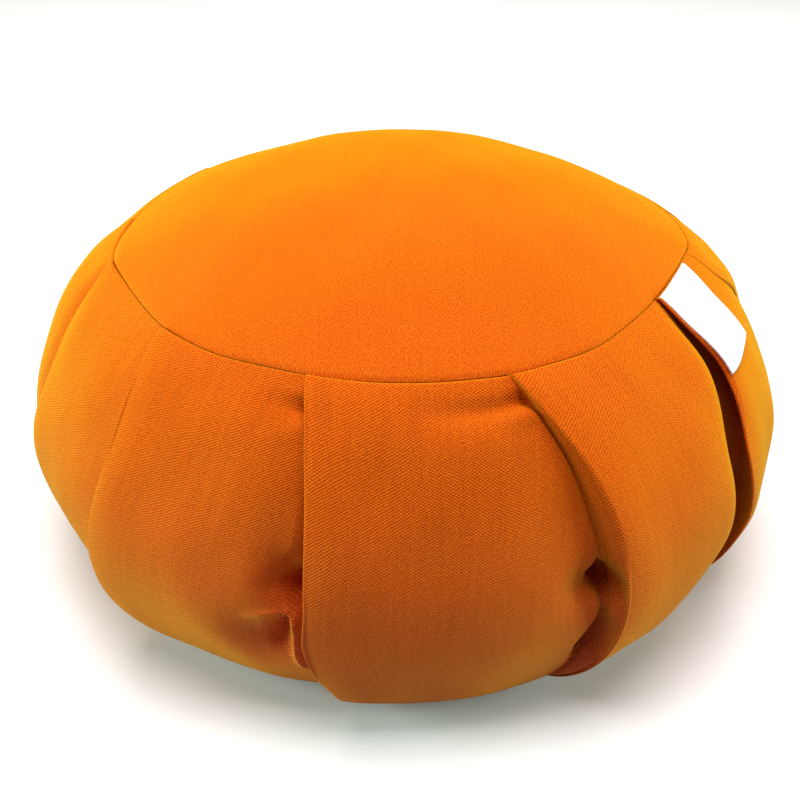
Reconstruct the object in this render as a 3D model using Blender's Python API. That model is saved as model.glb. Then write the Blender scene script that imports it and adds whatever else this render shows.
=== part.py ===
"""Zafu: a round, pleated meditation cushion, lying on its bottom panel.

Frame: metres, +Z up, origin on the floor at the centre of the bottom panel. -Y is the front.
The pieces are those that a maker cuts: a round top panel, a long pleated side band that carries
the filling, a round bottom panel and a blank label sewn into the top seam.

The band is worked out in two steps. A meridian gives its mean side view, and v runs down it from
0 at the top seam to 1 at the bottom seam. Round it run the panels between the knife pleats, each
of which starts at a lip that overlaps the panel before it.
"""

import math
from collections import namedtuple

import bmesh
import bpy

# Driving dimensions, in metres
SEAM_RADIUS = 0.1255
SEAM_HEIGHT = 0.140
CROWN = 0.0275
PANEL_THICKNESS = 0.002
LABEL_WIDTH = 0.038
LABEL_LENGTH = 0.042
LABEL_THICKNESS = 0.0012
GAP = 0.0003

# The side view of the band, from the top seam down to where it meets the floor
Station = namedtuple("Station", "radius height")
SIDE_VIEW = (
    Station(radius=0.1255, height=0.1400),
    Station(radius=0.1350, height=0.1339),
    Station(radius=0.1488, height=0.1208),
    Station(radius=0.1626, height=0.0998),
    Station(radius=0.1727, height=0.0753),
    Station(radius=0.1747, height=0.0508),
    Station(radius=0.1696, height=0.0280),
    Station(radius=0.1596, height=0.0105),
    Station(radius=0.1446, height=0.0000),
)
SIDE_VIEW_STEPS = 24  # points between two stations

# Knife pleats, anticlockwise seen from above. Each lip leaves the top seam at an azimuth, and half
# way down it has drifted sideways. It is most open where v is its peak. There the lip stands proud
# of the side view, the panel before it dips under it, the middle of the lip's own panel stands out
# by its crest, and the slot behind the lip is tucked in. The foot is how far the lip's own panel
# stands out where it reaches the floor.
Pleat = namedtuple("Pleat", "azimuth drift peak lip dip crest foot tuck")
PLEATS = (
    Pleat(azimuth=12, drift=4.0, peak=0.50, lip=0.001, dip=0.006, crest=-0.001, foot=-0.002, tuck=0.005),
    Pleat(azimuth=44, drift=5.0, peak=0.45, lip=-0.001, dip=0.007, crest=-0.002, foot=0.000, tuck=0.006),
    Pleat(azimuth=76, drift=3.0, peak=0.50, lip=-0.001, dip=0.006, crest=-0.001, foot=0.001, tuck=0.005),
    Pleat(azimuth=109, drift=6.0, peak=0.45, lip=0.000, dip=0.008, crest=-0.001, foot=-0.001, tuck=0.006),
    Pleat(azimuth=141, drift=4.0, peak=0.55, lip=-0.001, dip=0.006, crest=-0.001, foot=0.000, tuck=0.005),
    Pleat(azimuth=173, drift=3.0, peak=0.50, lip=-0.002, dip=0.007, crest=-0.001, foot=-0.001, tuck=0.005),
    Pleat(azimuth=192.5, drift=4.5, peak=0.50, lip=-0.002, dip=0.007, crest=-0.002, foot=-0.001, tuck=0.004),
    Pleat(azimuth=223.5, drift=4.2, peak=0.50, lip=-0.001, dip=0.007, crest=-0.003, foot=-0.002, tuck=0.005),
    Pleat(azimuth=254.5, drift=5.0, peak=0.50, lip=0.000, dip=0.010, crest=-0.001, foot=0.000, tuck=0.004),
    Pleat(azimuth=288, drift=10.0, peak=0.54, lip=0.005, dip=0.012, crest=0.001, foot=-0.001, tuck=0.000),
    Pleat(azimuth=325.5, drift=1.0, peak=0.42, lip=0.001, dip=0.013, crest=0.000, foot=-0.001, tuck=0.003),
    Pleat(azimuth=352, drift=4.5, peak=0.50, lip=0.001, dip=0.006, crest=-0.001, foot=-0.002, tuck=0.005),
)
LAYER = 0.0010  # the step that the folded cloth makes where a pleat is sewn flat
LIP_THICKNESS = 0.0022
BELLY = 0.003  # how far the middle of a panel stands out past its edges
RELAX = 0.022  # how far from its lip a panel settles back
ROLL = 0.008  # a panel rolls under the next lip over this width, and more where it goes deep
LOW = 0.03  # below this height folds stand off sideways
SEWN_FLAT = 0.07  # share of v over which a pleat opens, below the top seam

# Hollows that the pull of a fold leaves in a panel, each so far before the next lip
Hollow = namedtuple("Hollow", "panel before v across down depth")
HOLLOWS = (
    Hollow(panel=7, before=0.009, v=0.42, across=0.010, down=0.013, depth=0.0045),
    Hollow(panel=7, before=0.017, v=0.59, across=0.014, down=0.012, depth=0.0050),
    Hollow(panel=8, before=0.007, v=0.47, across=0.010, down=0.009, depth=0.0050),
    Hollow(panel=8, before=0.020, v=0.07, across=0.020, down=0.006, depth=0.0015),
)

# Rows of points down the band, and points across one panel as shares of its width
ROWS = (
    *(0.0, 0.02, 0.055, 0.10, 0.155, 0.215, 0.28, 0.345),
    *(0.41, 0.475, 0.54, 0.605, 0.67, 0.73, 0.785, 0.84),
)
FLOOR_ROWS = 2
ACROSS = (0.03, 0.12, 0.27, 0.45, 0.62, 0.76, 0.86, 0.93, 0.975)
CROWN_RINGS = (1.0, 0.93, 0.80, 0.60, 0.35)
PANEL_SEGMENTS = 72
LABEL_COLUMNS = 7
LABEL_ROWS = 8

ORANGE = (0.90, 0.26, 0.02, 1.0)
DEEP_ORANGE = (0.80, 0.21, 0.015, 1.0)
WHITE = (0.90, 0.90, 0.88, 1.0)


def catmull_rom(before, start, end, after, t):
    """A point on the smooth curve from start to end."""
    a = 2.0 * start
    b = end - before
    c = 2.0 * before - 5.0 * start + 4.0 * end - after
    d = 3.0 * start - before - 3.0 * end + after
    return 0.5 * (a + b * t + c * t * t + d * t * t * t)


def side_view_line():
    """The band's side view as close points, from the top seam to the bottom seam."""
    line = []
    last = len(SIDE_VIEW) - 1
    for k in range(last):
        four = [SIDE_VIEW[min(max(j, 0), last)] for j in (k - 1, k, k + 1, k + 2)]
        for step in range(SIDE_VIEW_STEPS):
            t = step / SIDE_VIEW_STEPS
            radius = catmull_rom(*[s.radius for s in four], t)
            height = catmull_rom(*[s.height for s in four], t)
            line.append((radius, max(height, 0.0)))
    line.append((SIDE_VIEW[-1].radius, 0.0))
    line.append((SEAM_RADIUS, 0.0))
    return line


def lengths_along(line):
    """The distance from the start of a line to each of its points."""
    total = [0.0]
    for a, b in zip(line, line[1:]):
        total.append(total[-1] + math.dist(a, b))
    return total


SIDE_LINE = side_view_line()
SIDE_LENGTHS = lengths_along(SIDE_LINE)
BAND_DEPTH = SIDE_LENGTHS[-1]
FLOOR_V = SIDE_LENGTHS[-2] / BAND_DEPTH


def meridian(v):
    """(radius, height, the outward normal's radial part and its upward part) at v."""
    wanted = v * BAND_DEPTH
    k = 1
    while k < len(SIDE_LENGTHS) - 1 and SIDE_LENGTHS[k] < wanted:
        k += 1
    (r0, z0), (r1, z1) = SIDE_LINE[k - 1], SIDE_LINE[k]
    length = SIDE_LENGTHS[k] - SIDE_LENGTHS[k - 1]
    t = (wanted - SIDE_LENGTHS[k - 1]) / length
    return (
        r0 + (r1 - r0) * t,
        z0 + (z1 - z0) * t,
        (z0 - z1) / length,
        (r1 - r0) / length,
    )


def smooth(t):
    """0 to 1, easing in and out."""
    t = min(max(t, 0.0), 1.0)
    return t * t * (3.0 - 2.0 * t)


def swell(k, v):
    """How open pleat k is: 0 at the seams and 1 at its peak."""
    return math.sin(math.pi * v ** (math.log(0.5) / math.log(PLEATS[k].peak)))


def footing(v):
    """0 down to the middle of the band and at the bottom seam, 1 where it reaches the floor."""
    return smooth((v - 0.5) / (FLOOR_V - 0.5)) * smooth((1.0 - v) / (1.0 - FLOOR_V))


def lip_azimuth(k, v):
    """The azimuth of pleat k's lip at v, in radians, growing with k past a full turn."""
    turns, k = divmod(k, len(PLEATS))
    pleat = PLEATS[k]
    return math.radians(pleat.azimuth + pleat.drift * math.sin(math.pi * v)) + math.tau * turns


def lip_height(k, v):
    """The height of lip k over the side view."""
    return LAYER + PLEATS[k].lip * swell(k, v) + PLEATS[k].foot * footing(v)


def dip_height(k, v):
    """The height over the side view at which the panel before pleat k runs under its lip."""
    return PLEATS[k - 1].foot * footing(v) - PLEATS[k].dip * swell(k, v)


def hollow_depth(k, before, v):
    """How deep the hollows are in panel k, so far before the next lip."""
    depth = 0.0
    for hollow in HOLLOWS:
        if hollow.panel == k:
            x = (before - hollow.before) / hollow.across
            y = (v - hollow.v) * BAND_DEPTH / hollow.down
            depth += hollow.depth * math.exp(-x * x - y * y)
    return depth


def panel_offset(k, share, v):
    """The height over the side view of panel k, at a share of the way to the next lip."""
    pleat = PLEATS[k]
    width = (lip_azimuth(k + 1, v) - lip_azimuth(k, v)) * meridian(v)[0]
    before = (1.0 - share) * width
    middle = pleat.foot * footing(v) + pleat.crest * swell(k, v)
    edge = middle - BELLY * swell(k, v)
    surface = edge + (middle - edge) * math.sin(math.pi * share)
    settling = (lip_height(k, v) - edge) * math.exp(-((share * width / RELAX) ** 2))
    depth = max(edge - dip_height((k + 1) % len(PLEATS), v), 0.0)
    roll = max(0.0, 1.0 - before / (ROLL + depth))
    under = depth * (1.0 - math.sqrt(1.0 - roll * roll))
    return surface + settling - under - hollow_depth(k, before, v)


def fold_points(k, v):
    """Pleat k in section: (distance past the lip, height), from the slot's floor to the nose."""
    lip, dip = lip_height(k, v), dip_height(k, v)
    thick = min(LIP_THICKNESS, 0.5 * (lip - dip))
    tuck = PLEATS[k].tuck
    under = lip - thick
    opened = (
        (0.35 * tuck, dip),
        (0.90 * tuck, dip),
        (tuck, 0.75 * dip + 0.25 * under),
        (0.55 * tuck, 0.35 * dip + 0.65 * under),
        (0.0, under),
        (-0.25 * thick, under + 0.5 * thick),
    )
    shares = [(j + 1) / (len(opened) + 1) for j in range(len(opened))]
    sewn = [(LAYER * (s - 1.0), dip + (lip - dip) * s) for s in shares]
    t = smooth(v / SEWN_FLAT) * smooth((1.0 - v) / (1.0 - FLOOR_V))
    return [(a + (c - a) * t, b + (d - b) * t) for (a, b), (c, d) in zip(sewn, opened)]


def on_band(azimuth, v, offset):
    """The point at an azimuth and v, standing off the side view, sideways where it is low."""
    radius, height, _, up = meridian(v)
    up *= smooth(height / LOW)
    radius += offset * math.sqrt(1.0 - up * up)
    return radius * math.cos(azimuth), radius * math.sin(azimuth), height + offset * up


def band_loop(v):
    """One closed row of points round the band."""
    points = []
    radius = meridian(v)[0]
    for k in range(len(PLEATS)):
        lip = lip_azimuth(k, v)
        span = lip_azimuth(k + 1, v) - lip
        for distance, offset in fold_points(k, v):
            points.append(on_band(lip + distance / radius, v, offset))
        for share in ACROSS:
            points.append(on_band(lip + share * span, v, panel_offset(k, share, v)))
    return points


def crown_height(radius):
    """The height of the top panel's upper face."""
    return SEAM_HEIGHT + CROWN * (1.0 - (radius / SEAM_RADIUS) ** 2.4)


def ring(azimuths, radius, height):
    """A level ring of points at the azimuths."""
    return [(radius * math.cos(a), radius * math.sin(a), height) for a in azimuths]


def loft(bm, loops):
    """A skin through closed loops of equal count, grown from the first by extrusion."""
    first = [bm.verts.new(p) for p in loops[0]]
    edges = [bm.edges.new((a, b)) for a, b in zip(first, first[1:] + first[:1])]
    verts = first
    for loop in loops[1:]:
        made = bmesh.ops.extrude_edge_only(bm, edges=edges)["geom"]
        fresh = {v for v in made if isinstance(v, bmesh.types.BMVert)}
        # An extruded point shares an edge with the point that it came from.
        verts = [next(e.other_vert(v) for e in v.link_edges if e.other_vert(v) in fresh) for v in verts]
        for vert, place in zip(verts, loop):
            vert.co = place
        edges = [bm.edges.get((a, b)) for a, b in zip(verts, verts[1:] + verts[:1])]
    return first, verts


def close_with_point(bm, verts, place):
    """A fan from a loop to one point."""
    centre = bm.verts.new(place)
    for a, b in zip(verts, verts[1:] + verts[:1]):
        bm.faces.new((a, b, centre))


def fabric(name, colour):
    """A matt cloth material."""
    material = bpy.data.materials.new(name)
    material.use_nodes = True
    shader = material.node_tree.nodes["Principled BSDF"]
    shader.inputs["Base Color"].default_value = colour
    shader.inputs["Roughness"].default_value = 0.9
    shader.inputs["Metallic"].default_value = 0.0
    material.diffuse_color = colour
    return material


def finished(name, bm, material):
    """The bmesh as a named object with outward faces, smooth but for its sharp edges."""
    bmesh.ops.recalc_face_normals(bm, faces=bm.faces)
    mesh = bpy.data.meshes.new(name)
    bm.to_mesh(mesh)
    bm.free()
    mesh.shade_smooth()
    mesh.set_sharp_from_angle(angle=math.radians(40))
    mesh.materials.append(material)
    obj = bpy.data.objects.new(name, mesh)
    bpy.context.scene.collection.objects.link(obj)
    return obj


def azimuths_of(loop):
    """The azimuth of each point of a loop."""
    return [math.atan2(y, x) for x, y, _ in loop]


def side_band(material):
    """The pleated band with its filling: a closed body, let in above and below for the panels."""
    inner_radius = SEAM_RADIUS + GAP
    bed = PANEL_THICKNESS + GAP
    floor_rows = [FLOOR_V + (1.0 - FLOOR_V) * k / FLOOR_ROWS for k in range(FLOOR_ROWS + 1)]
    rows = [band_loop(v) for v in (*ROWS, *floor_rows)]
    top, bottom = azimuths_of(rows[0]), azimuths_of(rows[-1])
    rim_scale = inner_radius / SEAM_RADIUS
    rows[0] = [(x * rim_scale, y * rim_scale, z) for x, y, z in rows[0]]
    rows[-1] = [(x * rim_scale, y * rim_scale, z) for x, y, z in rows[-1]]
    crown = [
        ring(top, inner_radius * share, crown_height(SEAM_RADIUS * share) - bed)
        for share in reversed(CROWN_RINGS)
    ]
    bm = bmesh.new()
    first, last = loft(bm, [*crown, *rows, ring(bottom, inner_radius, bed)])
    close_with_point(bm, first, (0.0, 0.0, crown_height(0.0) - bed))
    close_with_point(bm, last, (0.0, 0.0, bed))
    return finished("side_band", bm, material)


def top_panel(material):
    """The round top panel, crowned over the filling."""
    azimuths = [math.tau * k / PANEL_SEGMENTS for k in range(PANEL_SEGMENTS)]
    upper = [ring(azimuths, SEAM_RADIUS * s, crown_height(SEAM_RADIUS * s)) for s in reversed(CROWN_RINGS)]
    lower = [[(x, y, z - PANEL_THICKNESS) for x, y, z in loop] for loop in reversed(upper)]
    bm = bmesh.new()
    first, last = loft(bm, upper + lower)
    close_with_point(bm, first, (0.0, 0.0, crown_height(0.0)))
    close_with_point(bm, last, (0.0, 0.0, crown_height(0.0) - PANEL_THICKNESS))
    return finished("top_panel", bm, material)


def bottom_panel(material):
    """The round bottom panel, flat on the floor."""
    bm = bmesh.new()
    bmesh.ops.create_cone(
        bm,
        cap_ends=True,
        segments=PANEL_SEGMENTS,
        radius1=SEAM_RADIUS,
        radius2=SEAM_RADIUS,
        depth=PANEL_THICKNESS,
    )
    bmesh.ops.translate(bm, verts=bm.verts, vec=(0.0, 0.0, 0.5 * PANEL_THICKNESS))
    return finished("bottom_panel", bm, material)


LABEL_PANEL = 10  # the label lies on this panel, beside its lip
LABEL_SIDE_GAP = 0.0015  # from the lip to the label's near edge
LABEL_START = 0.012  # v of the label's sewn end
LABEL_STANDOFF = 0.0007


def label(material):
    """The blank label: its short end is sewn into the top seam, and it lies on its panel."""
    bm = bmesh.new()
    bmesh.ops.create_grid(bm, x_segments=LABEL_COLUMNS - 1, y_segments=LABEL_ROWS - 1, size=0.5)
    for vert in bm.verts:
        v = LABEL_START + (0.5 - vert.co.y) * LABEL_LENGTH / BAND_DEPTH
        radius = meridian(v)[0]
        lip = lip_azimuth(LABEL_PANEL, v)
        span = lip_azimuth(LABEL_PANEL + 1, v) - lip
        distance = LABEL_SIDE_GAP + (vert.co.x + 0.5) * LABEL_WIDTH
        offset = panel_offset(LABEL_PANEL, distance / (span * radius), v)
        vert.co = on_band(lip + distance / radius, v, offset + LABEL_STANDOFF)
    bmesh.ops.recalc_face_normals(bm, faces=bm.faces)
    bmesh.ops.solidify(bm, geom=bm.faces[:], thickness=-LABEL_THICKNESS)
    return finished("label", bm, material)


def main():
    for obj in list(bpy.data.objects):
        bpy.data.objects.remove(obj)
    side_band(fabric("band_canvas", DEEP_ORANGE))
    panel_canvas = fabric("panel_canvas", ORANGE)
    top_panel(panel_canvas)
    bottom_panel(panel_canvas)
    label(fabric("label_tape", WHITE))


main()
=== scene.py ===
"""Zafu: a round, pleated meditation cushion in orange canvas, with a blank white label.

Frame: metres, +Z up, origin on the floor at the centre of the bottom panel. -Y is the front.
The band is worked out in two steps. A meridian gives its mean side view, and v runs down it from
0 at the top seam to 1 at the bottom seam. Round it run the panels between the knife pleats, each
of which starts at a lip that overlaps the panel before it.
"""

import math
from collections import namedtuple

import bmesh
import bpy
import numpy as np
from bpy.props import FloatProperty, FloatVectorProperty, IntProperty, PointerProperty
from bpy.types import Operator, Panel, PropertyGroup
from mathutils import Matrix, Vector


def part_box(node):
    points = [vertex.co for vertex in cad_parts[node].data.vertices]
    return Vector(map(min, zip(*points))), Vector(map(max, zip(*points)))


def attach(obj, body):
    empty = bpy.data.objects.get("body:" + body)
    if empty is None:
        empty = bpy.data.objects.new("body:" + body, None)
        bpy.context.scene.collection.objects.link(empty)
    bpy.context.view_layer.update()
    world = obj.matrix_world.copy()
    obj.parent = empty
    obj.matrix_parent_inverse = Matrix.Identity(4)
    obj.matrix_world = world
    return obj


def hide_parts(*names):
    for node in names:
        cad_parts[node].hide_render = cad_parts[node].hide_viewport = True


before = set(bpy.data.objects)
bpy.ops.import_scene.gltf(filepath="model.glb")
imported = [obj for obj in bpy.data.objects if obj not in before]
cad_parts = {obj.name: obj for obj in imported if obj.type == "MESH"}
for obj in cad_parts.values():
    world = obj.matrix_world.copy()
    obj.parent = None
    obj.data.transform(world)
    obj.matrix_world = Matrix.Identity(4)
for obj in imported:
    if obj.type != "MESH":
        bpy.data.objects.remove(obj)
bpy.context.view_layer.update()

bl_info = {
    "name": "Zafu cushion",
    "version": (1, 0, 0),
    "blender": (4, 5, 0),
    "location": "3D View > Sidebar > Zafu",
    "description": "Sews a round pleated cushion and sets it on a pale studio floor",
    "category": "Object",
}

TOP_LOW, TOP_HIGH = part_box("top_panel")
BOTTOM_LOW, BOTTOM_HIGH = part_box("bottom_panel")
PANEL_THICKNESS = BOTTOM_HIGH.z - BOTTOM_LOW.z
SEAM_RADIUS = 0.5 * (TOP_HIGH.x - TOP_LOW.x)
SEAM_HEIGHT = TOP_LOW.z + PANEL_THICKNESS
CROWN = TOP_HIGH.z - SEAM_HEIGHT
CROWN_POWER = 2.4  # over 2, so the crown is flatter in its middle and falls away at its edge
EDGE_GAP = 0.0002  # between a round panel and the band
MILLIMETRE = 0.001

# The side view of the band, from the top seam down to where it meets the floor
Station = namedtuple("Station", "radius height")
SIDE_VIEW = (
    Station(radius=SEAM_RADIUS, height=SEAM_HEIGHT),
    Station(radius=0.1350, height=0.1339),
    Station(radius=0.1488, height=0.1208),
    Station(radius=0.1626, height=0.0998),
    Station(radius=0.1727, height=0.0753),
    Station(radius=0.1747, height=0.0508),
    Station(radius=0.1696, height=0.0280),
    Station(radius=0.1596, height=0.0105),
    Station(radius=0.1446, height=0.0000),
)
SIDE_VIEW_STEPS = 24  # points between two stations

# Knife pleats, anticlockwise seen from above, as in the CAD source. Each lip leaves the top seam
# at an azimuth and drifts sideways. It is most open where v is its peak. There the lip stands
# proud of the side view, the panel before it dips under it, the middle of the lip's own panel
# stands out by its crest, and the slot behind the lip is tucked in. The foot is how far the lip's
# own panel stands out where it reaches the floor.
Pleat = namedtuple("Pleat", "azimuth drift peak lip dip crest foot tuck columns")
PLEATS = (
    Pleat(12, 4.0, 0.50, -0.004, 0.0048, -0.001, -0.002, 0.002, 30),
    Pleat(44, 5.0, 0.50, -0.001, 0.005, -0.002, 0.000, 0.010, 30),
    Pleat(76, 3.0, 0.50, -0.001, 0.006, -0.001, 0.001, 0.010, 28),
    Pleat(109, 6.0, 0.45, 0.000, 0.008, -0.001, -0.001, 0.012, 28),
    Pleat(141, 4.0, 0.55, -0.001, 0.006, -0.001, 0.000, 0.010, 28),
    Pleat(173, 3.0, 0.50, -0.002, 0.007, -0.001, -0.001, 0.010, 30),
    Pleat(192.5, 4.5, 0.32, -0.0045, 0.0080, -0.0050, -0.006, 0.008, 44),
    Pleat(223.5, 4.2, 0.35, -0.0005, 0.006, -0.003, -0.003, 0.010, 70),
    Pleat(254.5, 5.0, 0.50, 0.000, 0.010, -0.001, 0.000, 0.010, 70),
    Pleat(288, 10.0, 0.45, 0.004, 0.0055, 0.001, -0.003, 0.0005, 50),
    Pleat(325.5, 1.0, 0.50, 0.001, 0.013, 0.000, -0.002, 0.022, 40),
    Pleat(352, 4.5, 0.50, -0.0032, 0.0038, -0.001, -0.002, 0.001, 30),
)
LAYER = 0.0015  # the step that the folded cloth makes where a pleat is sewn flat
LAYER_SHARES = {0: 0.2, 1: 0.4, 2: 0.4, 3: 0.4, 4: 0.4, 5: 0.5, 11: 0.1}  # how much of it shows
LIP_THICKNESS = 0.0012  # of the doubled cloth at a lip's edge
BELLY = 0.003  # how far the middle of a panel stands out past its edges
RELAX = 0.022  # how far from its lip a panel settles back
ROLL = 0.008  # a panel rolls under the next lip over this width, and more where it goes deep
ROLL_SHARES = {8: 0.6, 9: 0.4}  # tighter rolls under some lips
LOW = 0.03  # below this height folds stand off sideways
SEWN_STEP = 0.0004  # how far the folded cloth takes to step up where it is sewn flat
SEWN_FLAT = 0.05  # share of v over which a pleat opens, below the top seam
SLOT_REACH = 0.35  # how much further in a slot is tucked behind a pocket, as a share of its depth
SEAM_ROLL = 0.0020  # width over which cloth turns down into a seam
SEAM_PRESS = 0.7  # share of its standoff that the band loses at the top seam
SEAM_DEPTH = 0.00055  # mean depth of the top seam's groove
SEAM_DEPTH_FRONT = 0.00045  # how much deeper it is at the front, and shallower at the back
SEAM_DEPTH_LEFT = 0.00005  # and at the left
PANEL_SHIFT = 0.31  # one panel's place on the flat cloth is this far from the next one's

# How far each lip strays from its even drift, as (v, degrees)
STRAYS = {
    6: ((0.0, 1.4), (0.06, 2.4), (0.14, 2.7), (0.2, 1.9), (0.3, 1.9), (0.6, 1.0), (1.0, 0.0)),
    7: (
        *((0.0, 0.4), (0.08, 1.0), (0.16, 0.7), (0.24, 0.2), (0.32, -0.5), (0.4, -1.5)),
        *((0.48, -2.4), (0.54, -2.8), (0.62, -2.2), (0.8, -0.5), (1.0, 0.0)),
    ),
    8: (
        *((0.0, -0.3), (0.1, 0.1), (0.24, -0.2), (0.32, -0.6), (0.4, -0.9), (0.48, -1.0)),
        *((0.52, -1.3), (0.56, -1.3), (0.6, -0.5), (0.64, 0.3), (0.72, 2.9)),
        *((0.8, 4.2), (0.9, 3.5), (1.0, 1.0)),
    ),
    9: ((0.0, -0.6), (0.08, -0.2), (0.2, 0.4), (0.32, -0.1), (0.44, -0.4), (0.6, -0.4), (0.7, 0.0)),
    10: (
        *((0.0, 1.8), (0.05, 1.3), (0.1, 1.2), (0.18, 1.7), (0.24, 0.7), (0.29, -0.4)),
        *((0.36, -1.7), (0.44, -1.8), (0.5, -1.0), (0.56, 0.6), (0.64, 2.4), (0.72, 3.2)),
        *((0.85, 3.2), (1.0, 1.0)),
    ),
    11: (
        *((0.0, -2.1), (0.05, -2.4), (0.09, -2.6), (0.14, -1.0), (0.2, 3.0), (0.28, 6.0)),
        *((0.5, 6.0), (1.0, 0.0)),
    ),
}
STRAY_BLUR = 0.02  # the strays and walls are smoothed over this much of v on both sides

# The pleats pull the top seam out of round: (azimuth, how far it stands out in millimetres)
SEAM_PULL = (
    *((0, 1.0), (12, 1.2), (28, -0.5), (44, 1.2), (60, -0.5), (76, 1.2), (92, -0.5), (109, 1.2)),
    *((125, -0.5), (141, 1.2), (157, -0.8), (168, -1.2), (176, -1.3), (185, 0.5), (193, 1.9)),
    *((203, -1.1), (211, -1.4), (218, -0.3), (224, 1.1), (238, 1.5), (244, 0.3), (249, -0.2)),
    *((255, 0.4), (265, 0.8), (283, 1.0), (288, 1.9), (295, 0.2), (304, 0.0), (314, -3.4)),
    *((320, -4.7), (328, -5.3), (337, -5.0), (346, -2.7), (351, 0.0), (354, 1.5), (360, 1.0)),
)
SEAM_PULL_END = 0.30  # v at which the band is round again
SEAM_BLUR = 2.0  # degrees over which the pulls and sags are smoothed on both sides

# The top seam and the crown's edge sag: (azimuth, how far in millimetres)
SEAM_SAG = (
    *((0, 1.0), (20, 3.2), (40, 4.6), (54, 4.0), (67, 2.0), (80, 1.2), (95, 1.2), (110, 2.2)),
    *((133, 2.3), (150, 2.0), (165, 1.5), (180, 0.8), (200, 0.0), (340, 0.0), (360, 1.0)),
)

# Hollows that the pull of a fold leaves in a panel. Before is the distance to the next lip.
Hollow = namedtuple("Hollow", "panel before v across down depth")
HOLLOWS = (
    Hollow(7, 0.009, 0.42, 0.010, 0.013, 0.0045),
    Hollow(7, 0.017, 0.59, 0.014, 0.012, 0.0050),
    Hollow(8, 0.007, 0.47, 0.010, 0.009, 0.0050),
    Hollow(8, 0.020, 0.07, 0.020, 0.006, 0.0015),
    Hollow(7, 0.010, 0.90, 0.030, 0.025, 0.0025),
    Hollow(9, 0.090, 0.90, 0.024, 0.030, 0.0035),
    Hollow(9, 0.016, 0.72, 0.030, 0.030, 0.0050),
    Hollow(10, 0.020, 0.36, 0.040, 0.018, 0.0012),
)

# Pockets, where the panel before a pleat dives deeper under its lip
Pocket = namedtuple("Pocket", "pleat v down depth")
POCKETS = (
    Pocket(8, 0.065, 0.004, 0.003),
    Pocket(8, 0.40, 0.013, 0.006),
    Pocket(8, 0.450, 0.010, 0.026),
    Pocket(8, 0.58, 0.014, 0.006),
    Pocket(9, 0.065, 0.004, 0.0015),
    Pocket(9, 0.475, 0.0080, 0.016),
    Pocket(9, 0.545, 0.006, -0.0020),
    Pocket(9, 0.600, 0.025, 0.0030),
    Pocket(9, 0.635, 0.011, 0.016),
    Pocket(10, 0.660, 0.030, 0.011),
)

# How wide a pleat's inner wall shows before its lip: (v, millimetres)
WALLS = {
    9: (
        *((0.0, 0.0), (0.05, 0.7), (0.12, 1.8), (0.2, 3.0), (0.3, 3.6), (0.45, 3.6), (0.56, 2.6)),
        *((0.66, 4.6), (0.76, 4.8), (0.86, 3.0), (1.0, 0.0)),
    ),
}

# Dents, where a lip itself is pressed in
Dent = namedtuple("Dent", "pleat v down depth")
DENTS = (
    Dent(8, 0.90, 0.024, 0.0050),
    Dent(9, 0.90, 0.024, 0.0020),
    Dent(10, 0.62, 0.025, 0.0025),
)

# Creases, each a line through points: (so far before the next lip, so far below the top seam, its
# depth there). A positive depth is a trough and a negative one a ridge.
Crease = namedtuple("Crease", "panel width points")
CREASES = (
    Crease(7, 0.0032, ((0.001, 0.0125, 0.0030), (0.008, 0.0130, 0.0012), (0.017, 0.0125, 0.0003))),
    Crease(7, 0.0040, ((0.001, 0.0200, -0.0010), (0.016, 0.0260, -0.0002))),
    Crease(8, 0.0028, ((0.001, 0.0105, 0.0034), (0.008, 0.0120, 0.0016), (0.034, 0.0140, 0.0002))),
    Crease(8, 0.0034, ((0.004, 0.0165, -0.0014), (0.014, 0.018, -0.0004))),
    Crease(7, 0.0048, ((0.007, 0.076, 0.0020), (0.006, 0.085, 0.0060), (0.005, 0.093, 0.0020))),
    Crease(
        *(7, 0.0019),
        (
            *((0.0240, 0.0985, -0.0008), (0.0150, 0.0962, -0.0022), (0.0092, 0.0958, -0.0030)),
            *((0.0070, 0.0975, -0.0034), (0.0062, 0.1010, -0.0036), (0.0068, 0.1051, -0.0036)),
            *((0.0088, 0.1135, -0.0034), (0.0092, 0.1185, -0.0030), (0.0086, 0.1240, -0.0014)),
        ),
    ),
    Crease(
        *(7, 0.0042),
        ((0.0112, 0.0995, 0.0044), (0.0118, 0.1060, 0.0076), (0.0140, 0.1150, 0.0040)),
    ),
)

ROW_COUNT = 126
EDGE_CROWDING = 0.62  # how much closer together a panel's columns lie at its two edges
CAP_SHARES = (0.0, 0.6, 1.0)  # radii of the hidden caps under the two round panels
CAP_DROP = 0.0045  # how far the top cap lies under the crown
CAP_RISE = 0.0003  # how far the bottom cap lies over the bottom panel
UV_LAYER = "cloth"
PLEAT_COUNT = len(PLEATS)


def catmull_rom(before, start, end, after, t):
    """A point on the smooth curve from start to end."""
    a = 2.0 * start
    b = end - before
    c = 2.0 * before - 5.0 * start + 4.0 * end - after
    d = 3.0 * start - before - 3.0 * end + after
    return 0.5 * (a + b * t + c * t * t + d * t * t * t)


def side_view_line():
    """The band's side view as close points, from the top seam to the bottom seam."""
    line = []
    last = len(SIDE_VIEW) - 1
    for k in range(last):
        four = [SIDE_VIEW[min(max(j, 0), last)] for j in (k - 1, k, k + 1, k + 2)]
        for step in range(SIDE_VIEW_STEPS):
            t = step / SIDE_VIEW_STEPS
            radius = catmull_rom(*[s.radius for s in four], t)
            height = catmull_rom(*[s.height for s in four], t)
            line.append((radius, max(height, 0.0)))
    line.append((SIDE_VIEW[-1].radius, 0.0))
    line.append((SEAM_RADIUS, 0.0))
    return np.array(line)


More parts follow.
